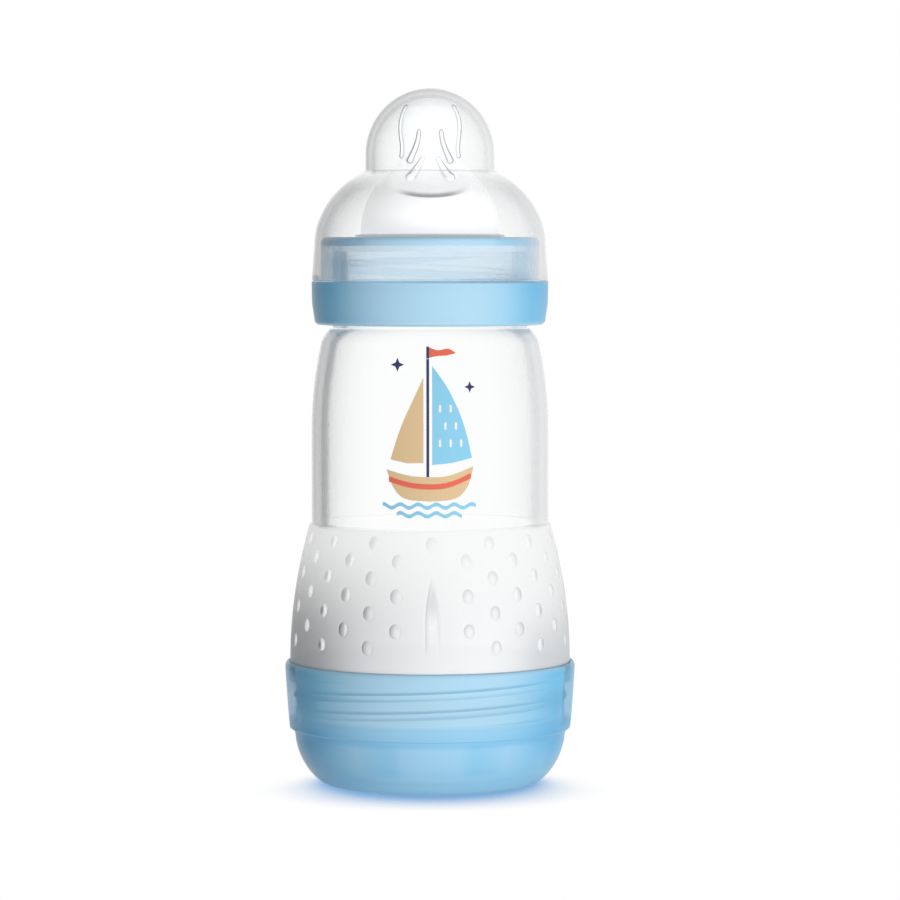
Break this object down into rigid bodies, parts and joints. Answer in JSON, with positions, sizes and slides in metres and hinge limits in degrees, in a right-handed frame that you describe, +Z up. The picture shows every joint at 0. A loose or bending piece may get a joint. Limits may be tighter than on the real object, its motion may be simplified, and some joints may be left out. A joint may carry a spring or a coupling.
{
  "type": "baby bottle",
  "caption": "Baby bottle with a vented screw-on base, a dimpled grip, a clear upper body, a flat silicone teat in a screw ring and a clear domed cap.",
  "frame": {"origin": "centre of the foot, on the surface that the bottle stands on", "axes": "+Z up along the bottle's axis, -Y towards the front, where the groove and the flat of the teat face"},
  "size_m": [0.0724, 0.0724, 0.1734],
  "materials": {
    "base": "translucent blue polypropylene, smooth",
    "valve": "milky silicone, satin",
    "bottle": "clear plastic with a frosted grip",
    "screw_ring": "translucent blue polypropylene, smooth",
    "teat": "milky silicone with a fine matt skin",
    "cap": "clear plastic, glossy"
  },
  "bodies": {
    "bottle": {"bottle": "bottle"},
    "teat": {"teat": "teat"},
    "screw_ring": {"screw_ring": "screw_ring"},
    "cap": {"cap": "cap"},
    "valve": {"valve": "valve"},
    "base": {"base": "base"}
  },
  "joints": [
    {"name": "ring_travel", "type": "slide", "parent": "bottle", "child": "teat", "axis": [0, 0, 1], "range_m": [0, 0.0101]},
    {"name": "ring_turn", "type": "hinge", "parent": "teat", "child": "screw_ring", "pos_m": [0, 0, 0.1354], "axis": [0, 0, 1], "range_deg": [0, 450]},
    {"name": "cap_lift", "type": "slide", "parent": "screw_ring", "child": "cap", "axis": [0, 0, 1], "range_m": [0, 0.055]},
    {"name": "base_travel", "type": "slide", "parent": "bottle", "child": "valve", "axis": [0, 0, -1], "range_m": [0, 0.0093]},
    {"name": "base_turn", "type": "hinge", "parent": "valve", "child": "base", "pos_m": [0, 0, 0.015], "axis": [0, 0, -1], "range_deg": [0, 360]}
  ],
  "couplings": [
    {"joint": "ring_travel", "follows": "ring_turn", "m_per_rad": 0.0012732},
    {"joint": "base_travel", "follows": "base_turn", "m_per_rad": 0.0014642}
  ]
}
